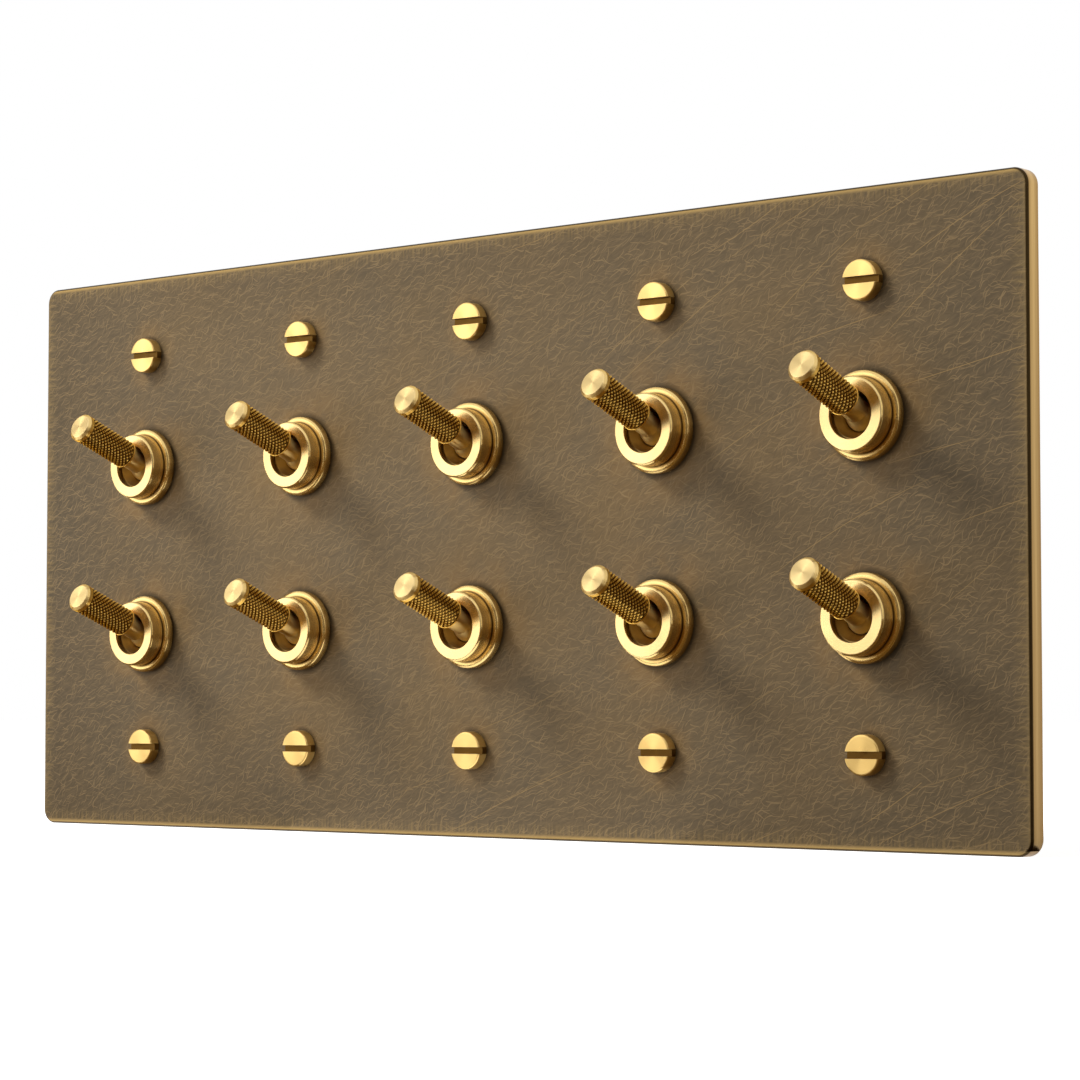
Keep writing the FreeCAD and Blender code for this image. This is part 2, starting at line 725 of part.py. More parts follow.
def build():
    """All the pieces, as node name to shape."""
    switches = switch_places()
    pieces = {
        "face_plate": face_plate(),
        "plate_screws": copies(plate_screw(), screw_places()),
        "bezel_washers": copies(bezel_washer(), switches),
        "ring_nuts": copies(ring_nut(), switches),
        "threaded_bushes": copies(threaded_bush(), switches),
        "hex_nuts": copies(hex_nut(), switches),
        "brackets": copies(bracket(), switches),
        "pivot_pins": copies(pivot_pin(), switches),
        "terminals": grouped(terminal_set(), switches),
        "terminal_screws": grouped(binding_screw_set(), switches),
    }
    repeated = {
        "dolly": dolly(),
        "plunger": plunger(),
        "spring": spring(),
        "rocker": rocker(),
        "switch_housing": switch_housing(),
    }
    for name, shape in repeated.items():
        for number, place in enumerate(switches, start=1):
            pieces[f"{name}_{number}"] = shape.translated(place)
    return pieces


def main():
    os.makedirs("parts", exist_ok=True)
    for name, shape in build().items():
        shape.exportStep(f"parts/{name}.step")


main()
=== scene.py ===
"""Looks, light and camera for the ten-way brass dolly switch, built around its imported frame.

Sizes are in metres. Each dolly, collar and plate screw is a finer piece that stands for its CAD
node, with a closer knurl, eased edges and real threads. Everything else keeps its CAD shape and
gets a material.
"""

import json
import math

import bmesh
import bpy
from mathutils import Matrix, Vector


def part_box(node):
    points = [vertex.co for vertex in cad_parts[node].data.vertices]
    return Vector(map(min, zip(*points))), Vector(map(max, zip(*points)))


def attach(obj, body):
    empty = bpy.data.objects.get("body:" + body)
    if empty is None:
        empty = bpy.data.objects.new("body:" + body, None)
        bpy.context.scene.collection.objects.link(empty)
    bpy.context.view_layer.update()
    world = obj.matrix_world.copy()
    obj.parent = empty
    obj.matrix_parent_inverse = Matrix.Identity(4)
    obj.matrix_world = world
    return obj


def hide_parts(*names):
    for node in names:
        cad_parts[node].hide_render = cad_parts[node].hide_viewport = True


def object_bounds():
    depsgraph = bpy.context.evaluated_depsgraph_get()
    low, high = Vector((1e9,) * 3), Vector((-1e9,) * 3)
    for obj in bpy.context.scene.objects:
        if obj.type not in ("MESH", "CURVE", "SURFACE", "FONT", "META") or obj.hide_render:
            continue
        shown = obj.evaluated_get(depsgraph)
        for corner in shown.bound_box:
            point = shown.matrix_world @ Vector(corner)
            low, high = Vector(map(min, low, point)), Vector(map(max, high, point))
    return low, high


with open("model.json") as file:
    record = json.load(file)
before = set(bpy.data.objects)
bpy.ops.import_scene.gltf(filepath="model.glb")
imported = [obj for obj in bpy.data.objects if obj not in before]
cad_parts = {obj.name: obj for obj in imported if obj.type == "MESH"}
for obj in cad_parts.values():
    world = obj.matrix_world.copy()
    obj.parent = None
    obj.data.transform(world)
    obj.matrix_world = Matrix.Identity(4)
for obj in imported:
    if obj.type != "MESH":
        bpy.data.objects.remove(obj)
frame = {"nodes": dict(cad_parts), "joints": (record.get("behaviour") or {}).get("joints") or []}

CAD_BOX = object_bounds()
MM = 0.001

# Layout, read from the frame
THROWS = [joint for joint in frame["joints"] if joint["name"].startswith("dolly")]
PIVOTS = [Vector(joint["pos_m"]) for joint in THROWS]
TILT = math.radians(THROWS[0]["range_deg"][1] / 2)
GANG_PITCH = PIVOTS[1].x - PIVOTS[0].x
ROW_SPACING = PIVOTS[0].z - PIVOTS[-1].z
PLATE_LOW, PLATE_HIGH = (Vector(corner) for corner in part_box("face_plate"))
PLATE_FRONT = PLATE_LOW.y
BEZEL_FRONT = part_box("bezel_washers")[0][1]
RING_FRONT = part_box("ring_nuts")[0][1]
SCREW_LOW, SCREW_HIGH = (Vector(corner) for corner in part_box("plate_screws"))

# Collar sizes
RING_RADIUS = 6.75 * MM
RING_MOUTH = 4.4 * MM
RING_LIP = 1.2 * MM
RING_BORE = 5.75 * MM
RING_CHAMFER = 0.3 * MM
RING_EASE = 0.12 * MM
BEZEL_RADIUS = 8.05 * MM
BEZEL_BORE = 5.85 * MM
BEZEL_ROUND = 0.5 * MM
BEZEL_EASE = 0.4 * MM

# Plate screw sizes
HEAD_RADIUS = 3.65 * MM
HEAD_ROUND = 0.35 * MM
NECK_OF_SCREW = 1.5 * MM
THREAD_RADIUS = 1.75 * MM
THREAD_DEPTH = 0.35 * MM
THREAD_PITCH = 0.8 * MM
SLOT_WIDTH = 1.3 * MM
SLOT_DEPTH = 1.0 * MM
SLOT_EDGE_BREAK = 0.09 * MM
SLOT_EDGE_ANGLE = math.radians(50)
SCREW_ROW = SCREW_HIGH.z - HEAD_RADIUS

# Dolly sizes, measured along the lever from its pivot
DOLLY_LENGTH = 20.0 * MM
GRIP_RADIUS = 2.975 * MM
GRIP_END_RADIUS = 2.43 * MM
GRIP_FOOT = 5.7 * MM
GRIP_FOOT_BREAK = 0.5 * MM
GRIP_BAND = 0.90 * MM
GRIP_FOOT_BAND = 0.22 * MM
GRIP_EASE = 0.09 * MM
NECK_RADIUS = 2.3 * MM
NECK_STEP = 0.02 * MM
BALL_RADIUS = 3.0 * MM
TAIL_RADIUS = 1.6 * MM
TAIL_LENGTH = 15.0 * MM
TAIL_BREAK = 0.2 * MM
TAIL_BORE = 1.05 * MM
TAIL_BORE_DEPTH = 9.0 * MM

# Diamond knurl
KNURL_COUNT = 18
KNURL_ROWS = 13
KNURL_DEPTH = 0.25 * MM
KNURL_FLAT = 0.28
KNURL_LEAD = 0.05 * MM

# Scratches on the plate's face: slant and spread in radians, reach and bend in cells
HAIR_SLANT = 0.42
HAIR_SPREAD = 1.6
HAIR_REACH = 0.72
HAIR_BEND = 1.5
HAIR_CURL = 3.6 * MM
HAIR_CURL_BEND = 0.5
HAIR_WIDTH = 0.12 * MM
HAIR_SHIFT = (0.37, 0.61)
LIGHT_HAIR_CELLS = (2.5 * MM, 2.1 * MM, 2.9 * MM, 1.8 * MM, 3.3 * MM)
LIGHT_HAIR_START = 0.0
LIGHT_HAIR_STRENGTH = 0.56
DARK_HAIR_CELLS = (2.7 * MM, 2.1 * MM)
DARK_HAIR_START = 0.9
DARK_HAIR_STRENGTH = 0.42
HAZE_STREAK = (2.6 * MM, 0.42 * MM, 1)
HAZE_BEND = 0.7
HAZE_STRENGTH = 0.30
SCRATCH_SLANT = 0.40
SCRATCH_SPREAD = 0.5
SCRATCH_REACH = 0.45
SCRATCH_BEND = 0.35
SCRATCH_WIDTH = 0.10 * MM
SCRATCH_CELLS = (0.055, 0.034, 0.078, 0.046, 0.025)
SCRATCH_SHIFT = (0.0131, 0.0173)
SCRATCH_STRENGTH = 0.75

# Wear and patina of the plate, and its painted reflections, shade and highlight: how far each
# reaches
WEAR_STREAK = 0.7 * MM
WEAR_REACH = 3.6 * MM
WEAR_LINE_START = 0.5 * MM
WEAR_LINE_END = 1.2 * MM
PATINA_PATCH = 0.022
DARKER_RIM_REACH = 0.026
SWITCH_REFLECTED_GLOW = (0.0080, 0.0165)
SCREW_REFLECTED_GLOW = (0.0036, 0.0085)
REFLECTED_GLOW_PATCH = 0.006
SWITCH_SHADE_AND_GRIME = 1.3 * MM
SCREW_SHADE_AND_GRIME = 0.9 * MM
SIDE_GRAIN = (0.030, 0.00018, 0.030)
SIDE_HIGHLIGHT_BAND = (0.1 * MM, 1.5 * MM)
PLATE_SKIN = 0.0012
SKIN_BUMP = 0.05 * MM

# Plate colours
PATINA_GREY = (0.116, 0.085, 0.048, 1)
PATINA_WARM = (0.152, 0.102, 0.048, 1)
DEEP_PATINA_AND_SHADE = (0.078, 0.058, 0.034, 1)
REFLECTED_GLOW_COLOUR = (0.225, 0.132, 0.048, 1)
HAZE_COLOUR = (0.215, 0.148, 0.076, 1)
DARK_HAIR = (0.070, 0.052, 0.032, 1)
LIGHT_HAIR = (0.300, 0.200, 0.094, 1)
SCRATCH_COLOUR = (0.360, 0.225, 0.085, 1)
WEAR_COLOUR = (0.400, 0.260, 0.090, 1)
GRIME_AND_CONTACT_SHADE = (0.030, 0.020, 0.009, 1)
SIDE_DEEP = (0.36, 0.20, 0.05, 1)
SIDE_LIGHT = (0.84, 0.56, 0.21, 1)
SIDE_LOWER_DARK = (0.12, 0.060, 0.012, 1)
ROUND_EDGE_SHADE = (0.046, 0.029, 0.011, 1)

# Turned brass: where its joints, faces and tips are dark, clean or plain, and its colours
JOINT_GRIME = (0.10 * MM, 0.45 * MM)
FACE_START = 0.05 * MM
TIP_BAND = (0.8 * MM, 0.5 * MM)
TIP_FACE = (0.3 * MM, 0.1 * MM)
LATHE_LINES_PER_METRE = 7000.0
LATHE_PATCH = 0.003
BRASS_LIGHT = (0.93, 0.69, 0.31, 1)
BRASS_DEEP = (0.72, 0.47, 0.13, 1)
BRASS_GOLD = (0.98, 0.60, 0.13, 1)
# Painted shade in recesses, knurl grooves and slots, and grime at joints
BRASS_SHADE_AND_GRIME = (0.125, 0.056, 0.007, 1)
BRASS_EDGE = (1.0, 0.70, 0.30, 1)

# Hidden pieces: the size of cloudy patches, grain across the height or the depth, and bumps
METAL_PATCH = 0.0055
GRAIN_BY_HEIGHT = (0.011, 0.011, 0.00045)
GRAIN_BY_DEPTH = (0.011, 0.00045, 0.011)
FINE_BUMP = 0.02 * MM
MOULDED_BUMP = 0.03 * MM

# Studio
FLOOR_SIZE = 4.0
FLOOR_GREY = (0.80, 0.80, 0.80, 1)
FLOOR_GLOW = 0.86
CARD_BROWN = (0.12, 0.070, 0.020, 1)
CARD_DISTANCE = 0.90
CARD_NEAR = 0.05
WORLD_LIGHT = 0.12
MATT = 0.9

# Fineness of the meshes
SEGMENTS = 96
SHANK_SEGMENTS = 20
HEAD_SEGMENTS = 64
BALL_STEPS = 14
FLAT_MARGIN = 1.3
SHARP_ANGLE = math.radians(28)


def eased(points, ease, steps=3, closed=True):
    """An outline whose corners are rounded off, each by at most a third of its shorter side.

    A point just beyond each end of a rounding keeps the flats beside it flat when shaded."""
    outline = []
    count = len(points)
    for index in range(count):
        corner = Vector(points[index])
        if not closed and index in (0, count - 1):
            outline.append(corner)
            continue
        before = Vector(points[index - 1]) - corner
        after = Vector(points[(index + 1) % count]) - corner
        reach = min(ease, before.length / 3, after.length / 3)
        start = corner + before.normalized() * reach
        end = corner + after.normalized() * reach
        outline.append(corner + before.normalized() * FLAT_MARGIN * reach)
        for step in range(steps + 1):
            share = step / steps
            first = start.lerp(corner, share)
            outline.append(first.lerp(corner.lerp(end, share), share))
        outline.append(corner + after.normalized() * FLAT_MARGIN * reach)
    return outline


def spot(mesh, radius, y, angle):
    """A vertex at a distance from the Y axis and an angle round it."""
    return mesh.verts.new((radius * math.cos(angle), y, radius * math.sin(angle)))


def ring_of(mesh, radius, y, count):
    """A ring of vertices round the Y axis, or one vertex where the radius is nothing."""
    if radius == 0:
        return [mesh.verts.new((0, y, 0))]
    return [spot(mesh, radius, y, 2 * math.pi * index / count) for index in range(count)]


def bridge(mesh, first, second):
    """Faces between two rings, either of which may be a single vertex."""
    count = max(len(first), len(second))
    for index in range(count):
        following = (index + 1) % count
        corners = []
        for vertex in (
            first[index % len(first)],
            first[following % len(first)],
            second[following % len(second)],
            second[index % len(second)],
        ):
            if vertex not in corners:
                corners.append(vertex)
        mesh.faces.new(corners)


def lathe(mesh, outline, count=SEGMENTS, closed=False):
    """A turned surface from (radius, y) points; a closed outline joins its two ends."""
    rings = [ring_of(mesh, radius, y, count) for radius, y in outline]
    pairs = list(zip(rings, rings[1:]))
    if closed:
        pairs.append((rings[-1], rings[0]))
    for first, second in pairs:
        bridge(mesh, first, second)
    return rings


def finish_mesh(mesh, name):
    """The mesh as Blender data, its faces turned outward, smooth but for its true edges."""
    bmesh.ops.recalc_face_normals(mesh, faces=mesh.faces)
    data = bpy.data.meshes.new(name)
    mesh.to_mesh(data)
    mesh.free()
    data.polygons.foreach_set("use_smooth", [True] * len(data.polygons))
    data.set_sharp_from_angle(angle=SHARP_ANGLE)
    return data


def add_object(name, data, material):
    """A new object in the scene with one material."""
    data.materials.append(material)
    piece = bpy.data.objects.new(name, data)
    bpy.context.scene.collection.objects.link(piece)
    return piece


def repeated(mesh, places):
    """One mesh with a copy of the given one at each place."""
    group = bmesh.new()
    single = bpy.data.meshes.new("single")
    mesh.to_mesh(single)
    mesh.free()
    for place in places:
        before = len(group.verts)
        group.from_mesh(single)
        group.verts.ensure_lookup_table()
        bmesh.ops.translate(group, vec=place, verts=group.verts[before:])
    bpy.data.meshes.remove(single)
    return group


def switch_axes():
    """The place of each switch on the plate, at y = 0."""
    return [Vector((pivot.x, 0, pivot.z)) for pivot in PIVOTS]


def screw_axes():
    """The place of each plate screw, at y = 0."""
    columns = [pivot.x for pivot in PIVOTS[: len(PIVOTS) // 2]]
    return [Vector((x, 0, side * SCREW_ROW)) for side in (1, -1) for x in columns]


def add_collars(name, outline, material):
    """A turned ring at each switch, all as one piece."""
    mesh = bmesh.new()
    lathe(mesh, outline, closed=True)
    return add_object(name, finish_mesh(repeated(mesh, switch_axes()), name), material)


def ring_nuts(material):
    """The round dress nuts, with a crisp face and eased edges."""
    lip_back = RING_FRONT + RING_LIP
    outline = eased([
        (RING_MOUTH, RING_FRONT),
        (RING_RADIUS - RING_CHAMFER, RING_FRONT),
        (RING_RADIUS, RING_FRONT + RING_CHAMFER),
        (RING_RADIUS, BEZEL_FRONT),
        (RING_BORE, BEZEL_FRONT),
        (RING_BORE, lip_back),
        (RING_MOUTH, lip_back),
    ], RING_EASE)
    return add_collars("ring_nuts_turned", outline, material)


def bezel_washers(material):
    """The flanged washers under the nuts, rounded over at the rim."""
    outline = eased([
        (BEZEL_BORE, BEZEL_FRONT),
        (BEZEL_RADIUS - BEZEL_ROUND, BEZEL_FRONT),
        (BEZEL_RADIUS - 0.15 * BEZEL_ROUND, BEZEL_FRONT + 0.5 * BEZEL_ROUND),
        (BEZEL_RADIUS, BEZEL_FRONT + 1.4 * BEZEL_ROUND),
        (BEZEL_RADIUS, PLATE_FRONT),
        (BEZEL_BORE, PLATE_FRONT),
    ], BEZEL_EASE, steps=4)
    return add_collars("bezel_washers_turned", outline, material)


def thread_radius(y, angle):
    """Radius of a screw thread at a place along the shank and round it."""
    phase = (y / THREAD_PITCH + angle / (2 * math.pi)) % 1
    return THREAD_RADIUS - THREAD_DEPTH * abs(2 * phase - 1)


def threaded_shank(mesh, start, end, count=SHANK_SEGMENTS, per_turn=4):
    """A helical thread from one place along Y to another, closed by a blunt point."""
    rows = int((end - start) / THREAD_PITCH * per_turn)
    angles = [2 * math.pi * index / count for index in range(count)]
    rings = [ring_of(mesh, NECK_OF_SCREW, start, count)]
    for row in range(rows + 1):
        y = start + (end - start) * row / rows
        rings.append([spot(mesh, thread_radius(y, angle), y, angle) for angle in angles])
    rings.append(ring_of(mesh, 0.6 * NECK_OF_SCREW, end, count))
    rings.append(ring_of(mesh, 0, end, count))
    for first, second in zip(rings, rings[1:]):
        bridge(mesh, first, second)


def slotted_head(name):
    """A cheese head with a level slot, as mesh data; the slot's edges are broken."""
    front = SCREW_LOW.y
    outline = eased([
        (0, front),
        (HEAD_RADIUS, front),
        (HEAD_RADIUS, PLATE_FRONT),
    ], HEAD_ROUND, steps=5, closed=False)
    outline += [(NECK_OF_SCREW, PLATE_FRONT), (NECK_OF_SCREW, 0), (0, 0)]
    mesh = bmesh.new()
    lathe(mesh, outline, count=HEAD_SEGMENTS)
    head = bpy.data.objects.new(name, finish_mesh(mesh, name))
    cutter_mesh = bmesh.new()
    bmesh.ops.create_cube(cutter_mesh, size=1)
    scale = Matrix.Diagonal((2.2 * HEAD_RADIUS, 2 * SLOT_DEPTH, SLOT_WIDTH, 1))
    bmesh.ops.transform(cutter_mesh, matrix=scale, verts=cutter_mesh.verts)
    bmesh.ops.translate(cutter_mesh, vec=(0, front, 0), verts=cutter_mesh.verts)
    cutter = bpy.data.objects.new(name + "_cutter", finish_mesh(cutter_mesh, name + "_cutter"))
    for piece in (head, cutter):
        bpy.context.scene.collection.objects.link(piece)
    cut = head.modifiers.new("slot", "BOOLEAN")
    cut.object = cutter
    cut.solver = "EXACT"
    edge = head.modifiers.new("edge", "BEVEL")
    edge.width = SLOT_EDGE_BREAK
    edge.segments = 2
    edge.limit_method = "ANGLE"
    edge.angle_limit = SLOT_EDGE_ANGLE
    bpy.context.view_layer.update()
    evaluated = head.evaluated_get(bpy.context.evaluated_depsgraph_get())
    data = bpy.data.meshes.new_from_object(evaluated)
    for piece in (head, cutter):
        bpy.data.objects.remove(piece)
    return data


def plate_screws(material):
    """The plate screws: slotted heads in front, threaded shanks behind."""
    mesh = bmesh.new()
    head = slotted_head("screw_head")
    mesh.from_mesh(head)
    bpy.data.meshes.remove(head)
    threaded_shank(mesh, 0.0, SCREW_HIGH.y)
    data = finish_mesh(repeated(mesh, screw_axes()), "plate_screws_cut")
    return add_object("plate_screws_cut", data, material)


def knurl(mesh, start, end):
    """A diamond knurl between two places along Y, as flat-topped pyramids.

    Returns the rings of vertices at its two ends."""
    columns = 2 * KNURL_COUNT
    rows = 2 * KNURL_ROWS
    root = GRIP_RADIUS - KNURL_DEPTH

    def at(column, row, radius):
        y = start + (end - start) * row / rows
        return spot(mesh, radius, y, 2 * math.pi * column / columns)

    corners = {}
    for row in range(rows + 1):
        for column in range(columns):
            if (row + column) % 2 == 0:
                corners[column, row] = at(column, row, root)
            elif row in (0, rows):
                corners[column, row] = at(column, row, root + KNURL_DEPTH / 2)
    for row in range(rows + 1):
        for column in range(columns):
            if (row + column) % 2 == 0:
                continue
            west = corners[(column - 1) % columns, row]
            east = corners[(column + 1) % columns, row]
            if row in (0, rows):
                point = corners[column, 1 if row == 0 else rows - 1]
                middle = corners[column, row]
                mesh.faces.new((middle, east, point))
                mesh.faces.new((middle, point, west))
                continue
            south = corners[column, row - 1]
            north = corners[column, row + 1]
            rim = [south, east, north, west]
            top = [
                at(column, row - KNURL_FLAT, GRIP_RADIUS),
                at(column + KNURL_FLAT, row, GRIP_RADIUS),
                at(column, row + KNURL_FLAT, GRIP_RADIUS),
                at(column - KNURL_FLAT, row, GRIP_RADIUS),
            ]
            mesh.faces.new(top)
            for side in range(4):
                following = (side + 1) % 4
                mesh.faces.new((rim[side], rim[following], top[following], top[side]))
    low = [corners[column, 0] for column in range(columns)]
    high = [corners[column, rows] for column in range(columns)]
    return low, high


def ball_outline():
    """The ball from the neck round to the tail, as (radius, distance in front of the pivot)."""
    first = math.asin(NECK_RADIUS / BALL_RADIUS)
    last = math.pi - math.asin(TAIL_RADIUS / BALL_RADIUS)
    outline = []
    for step in range(BALL_STEPS + 1):
        angle = first + (last - first) * step / BALL_STEPS
        outline.append((BALL_RADIUS * math.sin(angle), BALL_RADIUS * math.cos(angle)))
    return outline


def dolly_mesh():
    """One dolly lying along Y with its pivot at the origin and its tip towards -Y."""
    mesh = bmesh.new()
    columns = 2 * KNURL_COUNT
    tip = -DOLLY_LENGTH
    end_break = GRIP_RADIUS - GRIP_END_RADIUS
    knurl_start = tip + end_break + GRIP_BAND
    foot = -GRIP_FOOT
    knurl_end = foot - GRIP_FOOT_BREAK - GRIP_FOOT_BAND
    front = eased([
        (0, tip),
        (GRIP_END_RADIUS, tip),
        (GRIP_RADIUS, tip + end_break),
        (GRIP_RADIUS, knurl_start - KNURL_LEAD),
    ], GRIP_EASE, closed=False)
    back = [
        (GRIP_RADIUS, knurl_end + KNURL_LEAD),
        (GRIP_RADIUS, foot - GRIP_FOOT_BREAK),
        (GRIP_RADIUS - GRIP_FOOT_BREAK, foot),
        (NECK_RADIUS, foot + NECK_STEP),
    ]
    back += [(radius, -distance) for radius, distance in ball_outline()]
    back += [
        (TAIL_RADIUS, TAIL_LENGTH - TAIL_BREAK),
        (TAIL_RADIUS - TAIL_BREAK, TAIL_LENGTH),
        (TAIL_BORE, TAIL_LENGTH),
        (TAIL_BORE, TAIL_LENGTH - TAIL_BORE_DEPTH),
        (0, TAIL_LENGTH - TAIL_BORE_DEPTH),
    ]
    front_rings = lathe(mesh, front, count=columns)
    back_rings = lathe(mesh, back, count=columns)
    low, high = knurl(mesh, knurl_start, knurl_end)
    bridge(mesh, front_rings[-1], low)
    bridge(mesh, high, back_rings[0])
    return mesh


def dollies(material):
    """Each dolly as a knurled lever, thrown up about its pivot."""
    pieces = []
    for number, pivot in enumerate(PIVOTS, start=1):
        mesh = dolly_mesh()
        bmesh.ops.transform(mesh, matrix=Matrix.Rotation(-TILT, 4, "X"), verts=mesh.verts)
        bmesh.ops.translate(mesh, vec=pivot, verts=mesh.verts)
        name = f"dolly_knurled_{number}"
        pieces.append(add_object(name, finish_mesh(mesh, name), material))
    return pieces


class Nodes:
    """Small helper that adds shader nodes to one material and joins them."""

    def __init__(self, name):
        self.material = bpy.data.materials.new(name)
        self.material.use_nodes = True
        self.tree = self.material.node_tree
        self.shader = self.tree.nodes["Principled BSDF"]
        self.place = self.add("ShaderNodeTexCoord").outputs["Object"]
        self.x, self.y, self.z = self.split(self.place)

    def add(self, kind, **settings):
        node = self.tree.nodes.new(kind)
        for key, value in settings.items():
            setattr(node, key, value)
        return node

    def feed(self, value, socket):
        """Joins an output to a socket, or sets the socket to a plain value."""
        if isinstance(value, bpy.types.NodeSocket):
            self.tree.links.new(value, socket)
        else:
            socket.default_value = value

    def set(self, name, value):
        """Feeds one of the shader's own sockets."""
        self.feed(value, self.shader.inputs[name])

    def math(self, operation, first, second=0.0):
        node = self.add("ShaderNodeMath", operation=operation)
        self.feed(first, node.inputs[0])
        self.feed(second, node.inputs[1])
        return node.outputs[0]

    def times(self, first, second):
        return self.math("MULTIPLY", first, second)

    def plus(self, first, second):
        return self.math("ADD", first, second)

    def most(self, first, second):
        return self.math("MAXIMUM", first, second)

    def length(self, first, second):
        """Length of a flat vector."""
        return self.math("SQRT", self.plus(self.times(first, first), self.times(second, second)))

    def split(self, vector):
        node = self.add("ShaderNodeSeparateXYZ")
        self.feed(vector, node.inputs[0])
        return node.outputs

    def vector(self, x, y, z):
        node = self.add("ShaderNodeCombineXYZ")
        for value, socket in zip((x, y, z), node.inputs):
            self.feed(value, socket)
        return node.outputs[0]

    def laid(self, vector, size, turn=0.0, shift=(0, 0, 0)):
        """Coordinates that count in features of a given size, turned in the flat."""
        node = self.add("ShaderNodeMapping", vector_type="TEXTURE")
        self.feed(vector, node.inputs["Vector"])
        node.inputs["Scale"].default_value = size
        node.inputs["Rotation"].default_value = (0, 0, turn)
        node.inputs["Location"].default_value = shift
        return node.outputs["Vector"]

    def noise(self, vector, detail=2.0):
        node = self.add("ShaderNodeTexNoise")
        self.feed(vector, node.inputs["Vector"])
        node.inputs["Scale"].default_value = 1.0
        node.inputs["Detail"].default_value = detail
        return node.outputs["Fac"]

    def cloud(self, size, detail=3.0):
        """Soft patches of about this size all over the piece."""
        return self.noise(self.laid(self.place, (size, size, size)), detail)

    def warped(self, vector, amount):
        """Coordinates bent by a soft noise."""
        bend = self.add("ShaderNodeTexNoise")
        self.feed(vector, bend.inputs["Vector"])
        bend.inputs["Scale"].default_value = 1.0
        bend.inputs["Detail"].default_value = 1.0
        node = self.add("ShaderNodeVectorMath", operation="MULTIPLY_ADD")
        self.feed(bend.outputs["Color"], node.inputs[0])
        node.inputs[1].default_value = (amount, amount, amount)
        self.feed(vector, node.inputs[2])
        return node.outputs["Vector"]

    def cells(self, vector):
        """Offset from the middle of a random pattern's nearest cell, and its random numbers."""
        node = self.add("ShaderNodeTexVoronoi", feature="F1", voronoi_dimensions="2D")
        self.feed(vector, node.inputs["Vector"])
        node.inputs["Scale"].default_value = 1.0
        offset = self.add("ShaderNodeVectorMath", operation="SUBTRACT")
        self.feed(vector, offset.inputs[0])
        self.feed(node.outputs["Position"], offset.inputs[1])
        return offset.outputs["Vector"], self.split(node.outputs["Color"])

    def turned(self, vector, angle):
        """A flat vector turned by an angle."""
        node = self.add("ShaderNodeVectorRotate", rotation_type="Z_AXIS")
        self.feed(vector, node.inputs["Vector"])
        self.feed(angle, node.inputs["Angle"])
        return node.outputs["Vector"]

    def remap(self, value, low, high, to_low=0.0, to_high=1.0):
        node = self.add("ShaderNodeMapRange")
        self.feed(value, node.inputs["Value"])
        node.inputs["From Min"].default_value = low
        node.inputs["From Max"].default_value = high
        node.inputs["To Min"].default_value = to_low
        node.inputs["To Max"].default_value = to_high
        return node.outputs["Result"]

    def mix(self, share, first, second):
        node = self.add("ShaderNodeMix", data_type="RGBA")
        self.feed(share, node.inputs["Factor"])
        self.feed(first, node.inputs["A"])
        self.feed(second, node.inputs["B"])
        return node.outputs["Result"]

    def bump(self, height, distance, strength):
        node = self.add("ShaderNodeBump")
        self.feed(height, node.inputs["Height"])
        node.inputs["Distance"].default_value = distance
        node.inputs["Strength"].default_value = strength
        self.set("Normal", node.outputs["Normal"])

    def turned_sheen(self, amount, along):
        """Stretches reflections across the lathe lines, given the direction along the outline."""
        world = self.add("ShaderNodeVectorTransform")
        world.vector_type = "VECTOR"
        world.convert_from = "OBJECT"
        world.convert_to = "WORLD"
        self.feed(along, world.inputs[0])
        self.shader.inputs["Anisotropic"].default_value = amount
        self.set("Tangent", world.outputs[0])


def from_column(nodes):
    """Distance to the right of the nearest column of switches."""
    shifted = nodes.plus(nodes.x, 0.5 * GANG_PITCH - PIVOTS[0].x)
    wrapped = nodes.math("FLOORED_MODULO", shifted, GANG_PITCH)
    return nodes.plus(wrapped, -0.5 * GANG_PITCH)


def above_row(nodes, half_spacing):
    """Height above the nearer of two rows, which lie evenly about the plate's middle."""
    upper = nodes.math("GREATER_THAN", nodes.z, 0.0)
    middle = nodes.times(nodes.plus(nodes.times(upper, 2.0), -1.0), half_spacing)
    return nodes.math("SUBTRACT", nodes.z, middle)


def strokes(nodes, flat, size, slant, spread, reach, width, bend, shift):
    """One layer of separate bowed scratches, one in each cell of a random pattern.

    The cells have the given size, and reach, half width and bend count in cells."""
    offset, chance = nodes.cells(nodes.laid(flat, (size, size, 1), 0.0, shift))
    angle = nodes.plus(nodes.times(chance[0], -spread), 0.5 * spread - slant)
    along, across, _ = nodes.split(nodes.turned(offset, angle))
    bow = nodes.times(nodes.plus(chance[1], -0.5), bend)
    across = nodes.plus(across, nodes.times(bow, nodes.times(along, along)))
    line = nodes.remap(nodes.math("ABSOLUTE", across), 0.2 * width, width, 1.0, 0.0)
    ends = nodes.remap(nodes.math("ABSOLUTE", along), 0.5 * reach, reach, 1.0, 0.0)
    depth = nodes.remap(chance[2], 0.0, 1.0, 0.15, 1.0)
    return nodes.times(nodes.times(line, ends), depth)


def strongest(nodes, layers):
    """The strongest of several layers of scratches at each place."""
    result = layers[0]
    for layer in layers[1:]:
        result = nodes.most(result, layer)
    return result


def hairs(nodes, flat, sizes, start):
    """Fine curly hair scratches all over the plate's face, a layer for each size of cell."""
    curly = nodes.warped(nodes.laid(flat, (HAIR_CURL, HAIR_CURL, 1)), HAIR_CURL_BEND)
    layers = []
    for number, size in enumerate(sizes):
        shift = (start + HAIR_SHIFT[0] * number, start + HAIR_SHIFT[1] * number, 0)
        layers.append(strokes(
            nodes, curly, size / HAIR_CURL, HAIR_SLANT, HAIR_SPREAD,
            HAIR_REACH, HAIR_WIDTH / size, HAIR_BEND, shift,
        ))
    return strongest(nodes, layers)


def polish_haze(nodes, flat):
    """Faint streaks of old polishing that climb to the right."""
    streaks = nodes.laid(flat, HAZE_STREAK, HAIR_SLANT)
    return nodes.remap(nodes.noise(nodes.warped(streaks, HAZE_BEND)), 0.38, 0.72)


